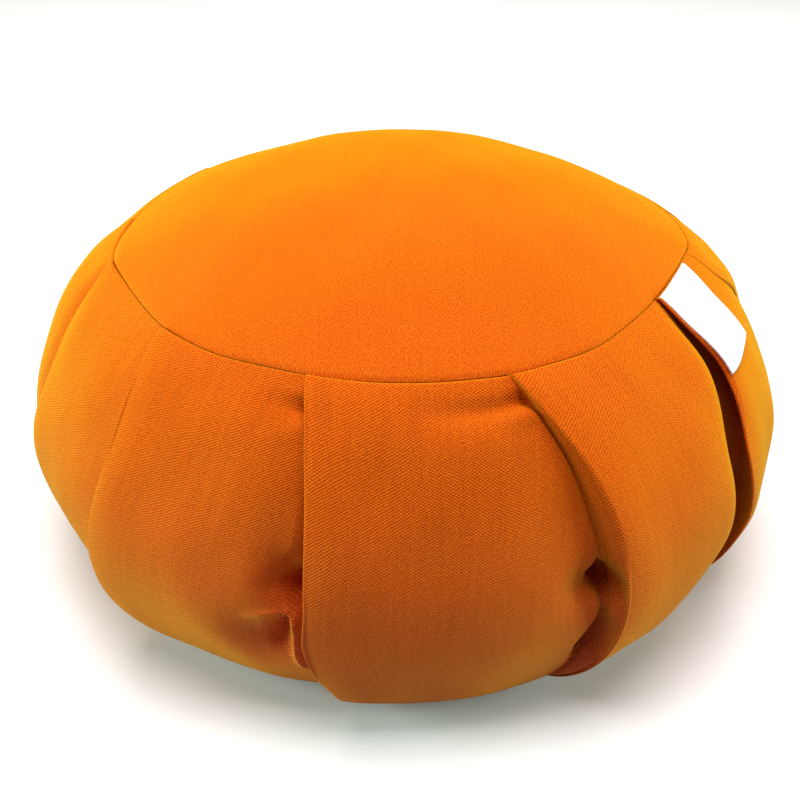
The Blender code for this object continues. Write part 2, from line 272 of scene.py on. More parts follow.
SIDE_LINE = side_view_line()
STEP_LENGTHS = np.hypot(*np.diff(SIDE_LINE, axis=0).T)
SIDE_LENGTHS = np.concatenate([[0.0], np.cumsum(STEP_LENGTHS)])
BAND_DEPTH = SIDE_LENGTHS[-1]
FLOOR_V = SIDE_LENGTHS[-2] / BAND_DEPTH  # where the band meets the floor
STEP_UP = np.diff(SIDE_LINE[:, 0]) / STEP_LENGTHS
STEP_MIDDLES = 0.5 * (SIDE_LENGTHS[1:] + SIDE_LENGTHS[:-1])


def meridian(v):
    """(radius, height, the outward normal's upward part) at each v."""
    wanted = v * BAND_DEPTH
    radius = np.interp(wanted, SIDE_LENGTHS, SIDE_LINE[:, 0])
    height = np.interp(wanted, SIDE_LENGTHS, SIDE_LINE[:, 1])
    return radius, height, np.interp(wanted, STEP_MIDDLES, STEP_UP)


def smooth(t):
    """0 to 1, easing in and out."""
    t = np.clip(t, 0.0, 1.0)
    return t * t * (3.0 - 2.0 * t)


def smoothed(table, at, reach, turn=None):
    """The table's value at each place, averaged with the values so far to both sides."""
    places, values = zip(*table)
    beside = (-reach, 0.0, reach)
    return sum(np.interp(at + d, places, values, period=turn) for d in beside) / len(beside)


def swell(k, v):
    """How open pleat k is: 0 at the seams and 1 at its peak."""
    return np.sin(math.pi * v ** (math.log(0.5) / math.log(PLEATS[k].peak)))


def footing(v):
    """0 down to the middle of the band and at the bottom seam, 1 where it reaches the floor."""
    return smooth((v - 0.5) / (FLOOR_V - 0.5)) * smooth((1.0 - v) / (1.0 - FLOOR_V))


def lip_azimuth(k, v):
    """The azimuth of pleat k's lip at v, in radians, growing with k past a full turn."""
    turns, k = divmod(k, PLEAT_COUNT)
    pleat = PLEATS[k]
    degrees = pleat.azimuth + pleat.drift * np.sin(math.pi * v)
    if k in STRAYS:
        degrees = degrees + smoothed(STRAYS[k], v, STRAY_BLUR)
    return np.radians(degrees) + math.tau * turns


def round_seam(table, azimuth):
    """The table's value in metres at an azimuth in radians."""
    return MILLIMETRE * smoothed(table, np.degrees(azimuth), SEAM_BLUR, 360.0)


def seam_pull(azimuth):
    """How far the pleats pull the top seam outwards."""
    return round_seam(SEAM_PULL, azimuth)


def seam_sag(azimuth):
    """How far the top seam sags."""
    return round_seam(SEAM_SAG, azimuth)


def seam_depth(azimuth):
    """How deep the top seam's groove is: deepest at the front and shallow at the back."""
    return SEAM_DEPTH - SEAM_DEPTH_FRONT * np.sin(azimuth) - SEAM_DEPTH_LEFT * np.cos(azimuth)


def total_at(places, k, v):
    """How deep the pockets or dents of pleat k are at v."""
    depth = 0.0 * v
    for place in places:
        if place.pleat == k:
            depth = depth + place.depth * np.exp(-(((v - place.v) * BAND_DEPTH / place.down) ** 2))
    return depth


def lip_height(k, v):
    """The height of lip k over the side view."""
    layer = LAYER * LAYER_SHARES.get(k, 1.0)
    dented = total_at(DENTS, k, v)
    return layer + PLEATS[k].lip * swell(k, v) + PLEATS[k].foot * footing(v) - dented


def dip_height(k, v):
    """The height over the side view at which the panel before pleat k runs under its lip."""
    dip = PLEATS[k - 1].foot * footing(v) - PLEATS[k].dip * swell(k, v)
    return dip - total_at(POCKETS, k, v)


def hollow_depth(k, before, v):
    """How deep the hollows are in panel k, so far before the next lip."""
    depth = 0.0 * before
    for hollow in HOLLOWS:
        if hollow.panel == k:
            x = (before - hollow.before) / hollow.across
            y = (v - hollow.v) * BAND_DEPTH / hollow.down
            depth += hollow.depth * np.exp(-x * x - y * y)
    return depth


def crease_depth(k, before, v):
    """How deep the creases are in panel k, so far before the next lip."""
    down = v * BAND_DEPTH
    total = 0.0 * before
    for crease in CREASES:
        if crease.panel == k:
            nearest = 1.0 + 0.0 * before
            depth = 0.0 * before
            for (x0, y0, depth0), (x1, y1, depth1) in zip(crease.points, crease.points[1:]):
                x, y = x1 - x0, y1 - y0
                t = np.clip(((before - x0) * x + (down - y0) * y) / (x * x + y * y), 0.0, 1.0)
                apart = np.hypot(before - x0 - t * x, down - y0 - t * y)
                depth = np.where(apart < nearest, depth0 + (depth1 - depth0) * t, depth)
                nearest = np.minimum(apart, nearest)
            total += depth * np.exp(-((nearest / crease.width) ** 2))
    return total


# Slow unevenness of the filling: (waves to a metre one way, the other way, phase, height)
WAVES = (
    (9.0, 5.0, 0.3, 0.00045),
    (-6.0, 13.0, 1.9, 0.00040),
    (17.0, -11.0, 4.1, 0.00022),
    (21.0, 19.0, 2.7, 0.00016),
    (-31.0, 14.0, 5.2, 0.00010),
)
EVEN_TOP = 0.12  # on the band the unevenness grows over this much of v
EVEN_FOOT = 0.95  # from this v down there is none
EVEN_FOOT_FADE = 0.2
EVEN_RIM = 0.03  # how far in from the top panel's edge it grows
TOP_SHARE = 0.8  # how much of it the top panel has


def unevenness(x, y):
    """Low waves over the cloth, for the way that a loose filling settles in it."""
    return sum(h * np.sin(math.tau * (a * x + b * y) + p) for a, b, p, h in WAVES)


def wall_width(k, v):
    """How wide the inner wall of pleat k shows before its lip."""
    if k not in WALLS:
        return 0.0 * v
    return MILLIMETRE * smoothed(WALLS[k], v, STRAY_BLUR)


def panel_width(k, v):
    """The width of panel k, from its lip to where it dives under the next."""
    whole = (lip_azimuth(k + 1, v) - lip_azimuth(k, v)) * meridian(v)[0]
    return whole - wall_width((k + 1) % PLEAT_COUNT, v)


def panel_offset(k, share, v):
    """The height over the side view of panel k, at a share of the way to the next lip."""
    pleat = PLEATS[k]
    width = panel_width(k, v)
    before = (1.0 - share) * width
    middle = pleat.foot * footing(v) + pleat.crest * swell(k, v)
    edge = middle - BELLY * swell(k, v)
    surface = edge + (middle - edge) * np.sin(math.pi * share)
    settling = (lip_height(k, v) - edge) * np.exp(-((share * width / RELAX) ** 2))
    after = (k + 1) % PLEAT_COUNT
    depth = np.maximum(edge - dip_height(after, v), 0.0)
    roll = np.maximum(0.0, 1.0 - before / (ROLL_SHARES.get(after, 1.0) * (ROLL + depth)))
    under = depth * (1.0 - np.sqrt(1.0 - roll * roll))
    calm = smooth(v / EVEN_TOP) * smooth((EVEN_FOOT - v) / EVEN_FOOT_FADE)
    slow = unevenness(share * width + PANEL_SHIFT * k, v * BAND_DEPTH) * calm
    pressed = hollow_depth(k, before, v) + crease_depth(k, before, v)
    return surface + settling - under - pressed + slow


def fold_section(k, v):
    """Pleat k in section at each v: (distance past the lip, height), from slot floor to lip."""
    lip, dip = lip_height(k, v), dip_height(k, v)
    thick = np.minimum(LIP_THICKNESS, 0.5 * (lip - dip))
    under = lip - thick
    start = -wall_width(k, v)
    tuck = start + PLEATS[k].tuck + SLOT_REACH * np.maximum(total_at(POCKETS, k, v), 0.0)
    # Round the slot: along its floor, up its inner end, back under the lip and round its edge
    opened = (
        (start, dip),
        (0.50 * (start + tuck), dip),
        (tuck, 0.75 * dip + 0.25 * under),
        (tuck, 0.60 * dip + 0.40 * under),
        (0.50 * tuck, 0.15 * dip + 0.85 * under),
        (0.15 * thick, under),
        (-0.35 * thick, under + 0.20 * thick),
        (-0.35 * thick, under + 0.80 * thick),
        (0.10 * thick, lip),
    )
    last = len(opened) - 1
    sewn = [(SEWN_STEP * (j / last - 1.0), dip + (lip - dip) * j / last) for j in range(last + 1)]
    t = smooth(v / SEWN_FLAT) * smooth((1.0 - v) / (1.0 - FLOOR_V))
    corners = [(a + (c - a) * t, b + (d - b) * t) for (a, b), (c, d) in zip(sewn, opened)]
    # Two points on each straight, a quarter of the way in from its ends, round the corners off.
    points = []
    for (x0, y0), (x1, y1) in zip(corners, corners[1:]):
        points.append((x0 + 0.25 * (x1 - x0), y0 + 0.25 * (y1 - y0)))
        points.append((x0 + 0.75 * (x1 - x0), y0 + 0.75 * (y1 - y0)))
    return points


def on_band(azimuth, v, offset):
    """The points at azimuths and v, standing off the side view, sideways where it is low."""
    radius, height, up = meridian(v)
    up = up * smooth(height / LOW)
    near = 1.0 - smooth(v / SEAM_PULL_END)
    rolled = np.maximum(0.0, 1.0 - v * BAND_DEPTH / SEAM_ROLL) ** 2
    offset = offset * (1.0 - SEAM_PRESS * rolled)
    reach = radius + seam_pull(azimuth) * near + offset * np.sqrt(1.0 - up * up)
    drop = seam_depth(azimuth) * rolled + seam_sag(azimuth) * near
    x, y = reach * np.cos(azimuth), reach * np.sin(azimuth)
    return np.stack([x, y, height + offset * up - drop], -1)


# The rows lie closer together at the top seam, over the deep folds and at the floor, and further
# apart under the cushion.
Crowding = namedtuple("Crowding", "v reach more")
CROWDINGS = (Crowding(0.0, 0.025, 4.0), Crowding(0.6, 0.14, 0.9), Crowding(FLOOR_V, 0.03, 0.8))
UNDER_LESS = 0.6
UNDER_REACH = 0.05
ROW_SAMPLES = 2001


def row_positions():
    """v of each row."""
    fine = np.linspace(0.0, 1.0, ROW_SAMPLES)
    density = 1.0 - UNDER_LESS * smooth((fine - FLOOR_V) / UNDER_REACH)
    for place in CROWDINGS:
        density += place.more * np.exp(-(((fine - place.v) / place.reach) ** 2))
    total = np.concatenate([[0.0], np.cumsum(0.5 * (density[1:] + density[:-1]))])
    return np.interp(np.linspace(0.0, total[-1], ROW_COUNT), total, fine)


SWITCH = 5  # the fold's points before this one are the panel that runs under, the rest its lip


def band_tables():
    """The band's points and its cloth coordinates, each as rows by columns."""
    v = row_positions()[:, None]
    radius = meridian(v)[0]
    places, cloth = [], []
    down = -v * BAND_DEPTH
    for k in range(PLEAT_COUNT):
        lip = lip_azimuth(k, v)
        section = fold_section(k, v)
        start = PANEL_SHIFT * k
        before = (k - 1) % PLEAT_COUNT
        before_end = PANEL_SHIFT * before + panel_width(before, v)
        steps = [np.hypot(b[0] - a[0], b[1] - a[1]) for a, b in zip(section, section[1:])]
        for j, (distance, offset) in enumerate(section):
            places.append(on_band(lip + distance / radius, v, offset))
            if j < SWITCH:
                u = before_end + sum(steps[:j])
            else:
                u = start - sum(steps[j:])
            cloth.append(np.stack([u + 0.0 * v, down], -1))
        width = panel_width(k, v)
        count = PLEATS[k].columns
        for j in range(count):
            t = (j + 1.0) / (count + 1.0)
            share = t - EDGE_CROWDING * math.sin(math.tau * t) / math.tau
            places.append(on_band(lip + share * width / radius, v, panel_offset(k, share, v)))
            cloth.append(np.stack([start + share * width, down], -1))
    places = np.concatenate(places, axis=1)
    cloth = np.concatenate(cloth, axis=1)
    return np.concatenate([places, places[:, :1]], 1), np.concatenate([cloth, cloth[:, :1]], 1)


def crown_height(radius):
    """The height of the top panel's upper face."""
    return SEAM_HEIGHT + CROWN * (1.0 - (radius / SEAM_RADIUS) ** CROWN_POWER)


def cap_rows(ring, inside, inside_pull):
    """The hidden rows that close the band under a round panel, from its centre to its edge."""
    angles = np.arctan2(ring[:, 1], ring[:, 0])
    rows = []
    for share in CAP_SHARES:
        radius = share * (SEAM_RADIUS + EDGE_GAP + inside_pull * seam_pull(angles))
        height = inside(share * SEAM_RADIUS) - inside_pull * share * share * seam_sag(angles)
        rows.append(np.stack([radius * np.cos(angles), radius * np.sin(angles), height], -1))
    return rows


def finished(name, bm, material):
    """The bmesh as a named object, shaded smooth."""
    mesh = bpy.data.meshes.new(name)
    bm.to_mesh(mesh)
    bm.free()
    mesh.shade_smooth()
    mesh.materials.append(material)
    obj = bpy.data.objects.new(name, mesh)
    bpy.context.scene.collection.objects.link(obj)
    return obj


def sew_band(material):
    """The pleated band round its filling, as one closed body."""
    places, cloth = band_tables()
    top = cap_rows(places[0], lambda r: crown_height(r) - CAP_DROP, 1.0)
    bottom = cap_rows(places[-1], lambda r: PANEL_THICKNESS + CAP_RISE, 0.0)
    places = np.concatenate([top, places, bottom[::-1]])
    cloth = np.concatenate([cloth[:1]] * len(top) + [cloth] + [cloth[-1:]] * len(bottom))
    rows, columns = places.shape[:2]
    bm = bmesh.new()
    bmesh.ops.create_grid(bm, x_segments=columns - 1, y_segments=rows - 1, size=0.5)
    bm.verts.index_update()
    spots = []
    for vert in bm.verts:
        column = round((vert.co.x + 0.5) * (columns - 1))
        row = round((0.5 - vert.co.y) * (rows - 1))
        spots.append((row, column))
        vert.co = places[row, column]
    uv = bm.loops.layers.uv.new(UV_LAYER)
    for face in bm.faces:
        for loop in face.loops:
            loop[uv].uv = cloth[spots[loop.vert.index]]
    bmesh.ops.remove_doubles(bm, verts=bm.verts, dist=1e-6)
    bmesh.ops.recalc_face_normals(bm, faces=bm.faces)
    return finished("band_cloth", bm, material)


def round_cloth(name, material, place_at, radii, steps, thickness):
    """A round piece of cloth: a line from its centre to its edge, spun and given a thickness."""
    bm = bmesh.new()
    line = [bm.verts.new((r, 0.0, 0.0)) for r in radii]
    edges = [bm.edges.new(pair) for pair in zip(line, line[1:])]
    spun = {"axis": (0.0, 0.0, 1.0), "cent": (0.0, 0.0, 0.0), "angle": math.tau}
    bmesh.ops.spin(bm, geom=line + edges, steps=steps, use_merge=True, **spun)
    bmesh.ops.remove_doubles(bm, verts=bm.verts, dist=1e-6)
    uv = bm.loops.layers.uv.new(UV_LAYER)
    for face in bm.faces:
        for loop in face.loops:
            loop[uv].uv = loop.vert.co.xy
    for vert in bm.verts:
        vert.co = place_at(vert.co.x, vert.co.y)
    bmesh.ops.recalc_face_normals(bm, faces=bm.faces)
    if bm.faces[0].normal.z < 0.0:
        bmesh.ops.reverse_faces(bm, faces=bm.faces)
    bmesh.ops.solidify(bm, geom=bm.faces[:], thickness=thickness)
    bmesh.ops.recalc_face_normals(bm, faces=bm.faces)
    return finished(name, bm, material)


def top_cloth_place(x, y):
    """A point of the top panel's upper face, which turns down at its seam."""
    radius = math.hypot(x, y)
    share = radius / SEAM_RADIUS
    azimuth = math.atan2(y, x)
    stretch = 1.0 + seam_pull(azimuth) * share * share / SEAM_RADIUS
    rolled = max(0.0, 1.0 - (SEAM_RADIUS - EDGE_GAP - radius) / SEAM_ROLL)
    calm = TOP_SHARE * float(smooth((SEAM_RADIUS - radius) / EVEN_RIM))
    drop = seam_depth(azimuth) * rolled * rolled + seam_sag(azimuth) * share * share
    height = crown_height(min(radius, SEAM_RADIUS)) - drop + calm * float(unevenness(x, y))
    return x * stretch, y * stretch, height


def bottom_cloth_place(x, y):
    """A point of the bottom panel's upper face, flat on the floor."""
    return x, y, PANEL_THICKNESS - EDGE_GAP


LABEL_PANEL = 10
LABEL_START = 0.004  # v of its sewn end
LABEL_GAP = 0.0008  # from the lip to its near edge
LABEL_TURN = 0.0006  # how much less of a gap there is at its loose end
LABEL_RISE = 0.0006  # how far it stands off its panel
LABEL_CURL = 0.0005  # how much further at its loose end
LABEL_CORNER_CURL = 0.0003  # and more again at its far loose corner
LABEL_COLUMNS = 40
LABEL_ROWS = 44


def sew_label(material, width, length, thickness):
    """The blank label: its short end is sewn into the top seam, and it lies on its panel."""
    bm = bmesh.new()
    bmesh.ops.create_grid(bm, x_segments=LABEL_COLUMNS, y_segments=LABEL_ROWS, size=0.5)
    uv = bm.loops.layers.uv.new(UV_LAYER)
    for face in bm.faces:
        for loop in face.loops:
            x, y, _ = loop.vert.co
            loop[uv].uv = (x * width, y * length)
    for vert in bm.verts:
        x, y = vert.co.x + 0.5, 0.5 - vert.co.y
        v = np.array(LABEL_START + y * length / BAND_DEPTH)
        distance = LABEL_GAP - LABEL_TURN * y + x * width
        azimuth = lip_azimuth(LABEL_PANEL, v) + distance / meridian(v)[0]
        offset = panel_offset(LABEL_PANEL, distance / panel_width(LABEL_PANEL, v), v)
        curl = LABEL_RISE + LABEL_CURL * y * y + LABEL_CORNER_CURL * x * y
        vert.co = on_band(azimuth, v, offset + curl)
    bmesh.ops.recalc_face_normals(bm, faces=bm.faces)
    bmesh.ops.solidify(bm, geom=bm.faces[:], thickness=thickness)
    bmesh.ops.recalc_face_normals(bm, faces=bm.faces)
    return finished("label_cloth", bm, material)


class Wiring:
    """Adds nodes to a node tree and joins them up."""

    def __init__(self, tree):
        self.tree = tree

    def add(self, kind, **settings):
        node = self.tree.nodes.new(kind)
        for name, value in settings.items():
            setattr(node, name, value)
        return node

    def feed(self, socket, value):
        if isinstance(value, bpy.types.NodeSocket):
            self.tree.links.new(value, socket)
        else:
            socket.default_value = value

    def feed_all(self, node, values):
        for name, value in values.items():
            self.feed(node.inputs[name], value)

    def math(self, operation, *values):
        node = self.add("ShaderNodeMath", operation=operation)
        for socket, value in zip(node.inputs, values):
            self.feed(socket, value)
        return node.outputs[0]

    def wave(self, turns):
        return self.math("SINE", self.math("MULTIPLY", turns, math.tau))

    def rise(self, value, high):
        node = self.add("ShaderNodeMapRange", interpolation_type="SMOOTHSTEP")
        self.feed_all(node, {"Value": value, "From Min": 0.0, "From Max": high})
        return node.outputs["Result"]

    def mix_colour(self, share, first, second, blend="MIX"):
        node = self.add("ShaderNodeMix", data_type="RGBA", blend_type=blend)
        self.feed_all(node, {"Factor": share, "A": first, "B": second})
        return node.outputs["Result"]

    def noise(self, place, scale, detail, dimensions="3D"):
        node = self.add("ShaderNodeTexNoise", noise_dimensions=dimensions)
        self.feed_all(node, {"Vector": place, "Scale": scale, "Detail": detail})
        return node.outputs["Fac"]


def new_group(name, inputs, outputs):
    """An empty shader node group with named inputs and outputs."""
    tree = bpy.data.node_groups.new(name, "ShaderNodeTree")
    for label, kind, default in inputs:
        socket = tree.interface.new_socket(label, in_out="INPUT", socket_type=kind)
        if default is not None:
            socket.default_value = default
    for label, kind in outputs:
        tree.interface.new_socket(label, in_out="OUTPUT", socket_type=kind)
    wiring = Wiring(tree)
    return tree, wiring, wiring.add("NodeGroupInput"), wiring.add("NodeGroupOutput")


# The canvas weave. Its noises are counted to a metre of flat cloth.
QUICK_SWAY = 260.0
SLOW_SWAY = 38.0
SLOW_SWAY_SHARE = 5.0  # how much more of the slow sway there is than of the quick one
GRAIN = 1100.0
SLUBS = (420.0, 26.0, 1.0)  # thick threads, long down the cloth
RIB_RELIEF = 0.54  # shares of the ribs and of the dots along them in the weave's height
DOT_RELIEF = 0.198
MID_HEIGHT = 0.5
HEIGHT_SHARE = 0.68  # shares of the weave's height (painted shade in its gaps, painted highlight on its ribs), the grain and the slubs in the flecks
GRAIN_SHARE = 0.7
SLUB_SHARE = 0.36
FLECK_BASE = -0.09


def weave_group():
    """Diagonal ribs of small raised dots, in metres of cloth."""
    inputs = (
        ("Cloth", "NodeSocketVector", None),
        ("Rib pitch", "NodeSocketFloat", 0.001),
        ("Rib angle", "NodeSocketFloat", 0.6),
        ("Wander", "NodeSocketFloat", 0.5),
        ("Ribs", "NodeSocketFloat", 0.5),
    )
    outputs = (("Height", "NodeSocketFloat"), ("Shade and fleck", "NodeSocketFloat"))
    tree, w, start, end = new_group("canvas weave", inputs, outputs)
    cloth, pitch, ribs = (start.outputs[name] for name in ("Cloth", "Rib pitch", "Ribs"))
    turned = w.add("ShaderNodeVectorRotate", rotation_type="Z_AXIS")
    w.feed_all(turned, {"Vector": cloth, "Angle": start.outputs["Rib angle"]})
    apart = w.add("ShaderNodeSeparateXYZ")
    w.feed(apart.inputs[0], turned.outputs[0])
    quick = w.math("SUBTRACT", w.noise(cloth, QUICK_SWAY, 2.0, "2D"), 0.5)
    slow = w.math("SUBTRACT", w.noise(cloth, SLOW_SWAY, 1.0, "2D"), 0.5)
    sway = w.math("MULTIPLY_ADD", slow, SLOW_SWAY_SHARE, quick)
    shift = w.math("MULTIPLY", sway, start.outputs["Wander"])
    across = w.math("ADD", w.math("DIVIDE", apart.outputs["Y"], pitch), shift)
    along = w.math("ADD", w.math("DIVIDE", apart.outputs["X"], pitch), shift)
    rib = w.math("MULTIPLY", w.wave(across), ribs)
    dots = w.wave(w.math("MULTIPLY_ADD", across, 0.5, along))
    ribbed = w.math("MULTIPLY_ADD", rib, RIB_RELIEF, MID_HEIGHT)
    height = w.math("MULTIPLY_ADD", dots, DOT_RELIEF, ribbed)
    stretched = w.add("ShaderNodeVectorMath", operation="MULTIPLY")
    w.feed(stretched.inputs[0], cloth)
    w.feed(stretched.inputs[1], SLUBS)
    slub = w.math("SUBTRACT", w.noise(stretched.outputs[0], 1.0, 1.0, "2D"), 0.5)
    slubs = w.math("MULTIPLY", slub, w.math("MULTIPLY", ribs, SLUB_SHARE))
    grain = w.math("MULTIPLY_ADD", w.noise(cloth, GRAIN, 2.0, "2D"), GRAIN_SHARE, FLECK_BASE)
    mottled = w.math("ADD", grain, slubs)
    w.feed(end.inputs["Height"], height)
    # The flecks carry the weave's height, as painted shade in its gaps and painted highlight on its
    # ribs, with the thread's grain and slubs.
    w.feed(end.inputs["Shade and fleck"], w.math("MULTIPLY_ADD", height, HEIGHT_SHARE, mottled))
    return tree


def drift_group():
    """Slow, faint changes of tone over a cloth, as from dye and handling."""
    inputs = (("Place", "NodeSocketVector", None), ("Scale", "NodeSocketFloat", 14.0))
    tree, w, start, end = new_group("tone drift", inputs, (("Tone", "NodeSocketFloat"),))
    clouds = w.noise(start.outputs["Place"], start.outputs["Scale"], 4.0)
    w.feed(end.inputs["Tone"], clouds)
    return tree


WHITE = (1.0, 1.0, 1.0, 1.0)
RIM_SHEEN_TINT = (1.05, 2.7, 1.3, 1.0)  # painted sheen, what it multiplies the canvas colour by at the rim
RIM_SHEEN_FALL = 3.0  # how fast it falls off from the rim
RIM_SHEEN_HEIGHT = 0.08  # the painted sheen fades out below this height
# Painted shade: the canvas is bluer towards the floor, for the bluish cast of the shaded lower band
LOW_SHADE_TINT = (0.94, 1.05, 6.0, 1.0)
LOW_SHADE_HEIGHT = 0.12  # there is none above this height


def sheen_and_shade_group():
    """Painted sheen, yellower than the thread where the canvas turns from the eye, and painted
    bluish shade low down near the floor.
    """
    inputs = (
        ("Canvas", "NodeSocketColor", None),
        ("Turned", "NodeSocketFloat", 0.0),
        ("Place", "NodeSocketVector", None),
    )
    outputs = (("Painted", "NodeSocketColor"),)
    tree, w, start, end = new_group("painted sheen and shade", inputs, outputs)
    spot = w.add("ShaderNodeSeparateXYZ")
    w.feed(spot.inputs[0], start.outputs["Place"])
    # Painted sheen: yellower where the cloth turns from the eye, faded out near the floor
    rim = w.math("POWER", start.outputs["Turned"], RIM_SHEEN_FALL)
    sheen_share = w.math("MULTIPLY", rim, w.rise(spot.outputs["Z"], RIM_SHEEN_HEIGHT))
    painted_sheen = w.mix_colour(sheen_share, WHITE, RIM_SHEEN_TINT)
    # Painted bluish shade, strongest at the floor
    low_shade = w.mix_colour(w.rise(spot.outputs["Z"], LOW_SHADE_HEIGHT), LOW_SHADE_TINT, WHITE)
    sheened = w.mix_colour(1.0, start.outputs["Canvas"], painted_sheen, "MULTIPLY")
    w.feed(end.inputs["Painted"], w.mix_colour(1.0, sheened, low_shade, "MULTIPLY"))
    return tree


def new_material(name, colour):
    """A new material, its wiring and its shader. The colour is the one that the viewport shows."""
    material = bpy.data.materials.new(name)
    material.use_nodes = True
    material.diffuse_color = (*colour, 1.0)
    return material, Wiring(material.node_tree), material.node_tree.nodes["Principled BSDF"]


def woven(w, shader, pattern, strength, relief):
    """Places the weave with its own values, bumps the shader up by it and gives its flecks, with
    painted shade in its gaps and painted highlight on its ribs.
    """
    weave = w.add("ShaderNodeGroup", node_tree=node_group("canvas weave", weave_group))
    cloth_map = w.add("ShaderNodeUVMap", uv_map=UV_LAYER)
    w.feed_all(weave, {"Cloth": cloth_map.outputs["UV"], **pattern})
    bump = w.add("ShaderNodeBump")
    w.feed_all(bump, {"Height": weave.outputs["Height"], "Strength": strength})
    w.feed(bump.inputs["Distance"], relief)
    w.feed(shader.inputs["Normal"], bump.outputs["Normal"])
    return weave.outputs["Shade and fleck"]


# Painted shade: the gaps between the ribs are darker and redder than the dyed thread. Painted
# highlight: the tops of the ribs are paler.
GAP_SHADE_TINT = (0.40, 0.05, 0.05)
RIB_HIGHLIGHT_TINT = (1.32, 1.65, 1.65)
DRIFT_TINT = (0.8, 0.8, 0.8)
DRIFT_SHARE = 0.16
WEAVE_STRENGTH = 0.8
TAPE_PITCH = 0.0005
TAPE_RELIEF = 0.0001
TAPE_STRENGTH = 0.3
# Painted shade in the gaps of the tape's weave
TAPE_GAP_SHADE_TINT = (0.93, 0.93, 0.93)


def tinted(colour, tint):
    """The colour with each part multiplied by the tint's, as a node takes it."""
    return [c * t for c, t in zip(colour, tint)] + [1.0]


def canvas_material(name, look, rib_angle, ribs):
    """Matt cotton canvas with its weave, its flecks and a soft warm sheen, with painted shade in
    the weave's gaps, painted highlight on its ribs, painted sheen towards its rim and painted
    bluish shade low down.
    """
    material, w, shader = new_material(name, look.colour)
    pattern = {"Rib pitch": look.rib_pitch, "Rib angle": rib_angle, "Ribs": ribs}
    shade_and_fleck = woven(w, shader, pattern, WEAVE_STRENGTH, look.weave_relief)
    # Painted shade in the weave's gaps and painted highlight on its ribs
    weave_shaded = w.mix_colour(shade_and_fleck, tinted(look.colour, GAP_SHADE_TINT), tinted(look.colour, RIB_HIGHLIGHT_TINT))
    place = w.add("ShaderNodeTexCoord").outputs["Object"]
    drift = w.add("ShaderNodeGroup", node_tree=node_group("tone drift", drift_group))
    w.feed(drift.inputs["Place"], place)
    tone = w.math("MULTIPLY", drift.outputs["Tone"], DRIFT_SHARE)
    # Painted sheen towards the rim and painted bluish shade low down
    layers = w.add("ShaderNodeLayerWeight")
    painted_light = w.add("ShaderNodeGroup", node_tree=node_group("painted sheen and shade", sheen_and_shade_group))
    w.feed(painted_light.inputs["Canvas"], w.mix_colour(tone, weave_shaded, tinted(look.colour, DRIFT_TINT)))
    w.feed_all(painted_light, {"Turned": layers.outputs["Facing"], "Place": place})
    w.feed(shader.inputs["Base Color"], painted_light.outputs["Painted"])
    w.feed_all(shader, {"Roughness": 0.95, "Specular IOR Level": 0.04, "Sheen Roughness": 0.5})
    w.feed_all(shader, {"Sheen Weight": look.sheen, "Sheen Tint": (*look.sheen_tint, 1.0)})
    return material


def tape_material(name, colour):
    """Smooth white tape, finely woven, with a faint shine and painted shade in the gaps of its
    weave.
    """
    material, w, shader = new_material(name, colour)
    pattern = {"Rib pitch": TAPE_PITCH, "Rib angle": 0.0}
    shade_and_fleck = woven(w, shader, pattern, TAPE_STRENGTH, TAPE_RELIEF)
    # Painted shade in the gaps of the weave
    weave_shaded = w.mix_colour(shade_and_fleck, tinted(colour, TAPE_GAP_SHADE_TINT), (*colour, 1.0))
    w.feed(shader.inputs["Base Color"], weave_shaded)
    w.feed_all(shader, {"Roughness": 0.6, "Specular IOR Level": 0.3, "Sheen Weight": 0.1})
    return material


def node_group(name, make):
    """The named node group, made the first time that it is asked for."""
    return bpy.data.node_groups.get(name) or make()


class ZafuShape(PropertyGroup):
    cloth_thickness: FloatProperty(
        name="Cloth thickness",
        description="Thickness of the canvas with its turned edge",
        default=0.0012,
        unit="LENGTH",
        precision=4,
    )
    fill: FloatProperty(
        name="Fill",
        description="How tightly the cushion is filled",
        default=0.85,
        min=0.0,
        max=1.0,
        subtype="FACTOR",
    )
    spokes: IntProperty(
        name="Spokes",
        description="How many points go round a panel's edge",
        default=240,
        min=24,
        max=400,
    )


class ZafuCloth(PropertyGroup):
    colour: FloatVectorProperty(
        name="Canvas colour",
        description="Dyed colour of the canvas",
        default=(0.60, 0.084, 0.0031),
        subtype="COLOR",
        min=0.0,
        max=1.0,
    )
    rib_pitch: FloatProperty(
        name="Rib pitch",
        description="Distance between the weave's diagonal ribs",
        default=0.00098,
        unit="LENGTH",
        precision=5,
    )
    weave_relief: FloatProperty(
        name="Weave relief",
        description="Height of the weave's ribs",
        default=0.0003,
        unit="LENGTH",
        precision=5,
    )
    sheen: FloatProperty(
        name="Sheen",
        description="Weight of the soft sheen of the cotton's fuzz",
        default=0.4,
        min=0.0,
        max=1.0,
        subtype="FACTOR",
    )
    sheen_tint: FloatVectorProperty(
        name="Sheen tint",
        description="Colour of the sheen",
        default=(0.80, 0.58, 0.00),
        subtype="COLOR",
        min=0.0,
        max=1.0,
    )


class ZafuLabel(PropertyGroup):
    width: FloatProperty(
        name="Width", description="Width of the label", default=0.038, unit="LENGTH", precision=4
    )
    length: FloatProperty(
        name="Length", description="Length of the label", default=0.0382, unit="LENGTH", precision=4
    )
    thickness: FloatProperty(
        name="Thickness",
        description="Thickness of the tape",
        default=0.0008,
        unit="LENGTH",
        precision=4,
    )
    colour: FloatVectorProperty(
        name="Tape colour",
        description="Colour of the tape",
        default=(0.92, 0.92, 0.91),
        subtype="COLOR",
        min=0.0,
        max=1.0,
    )


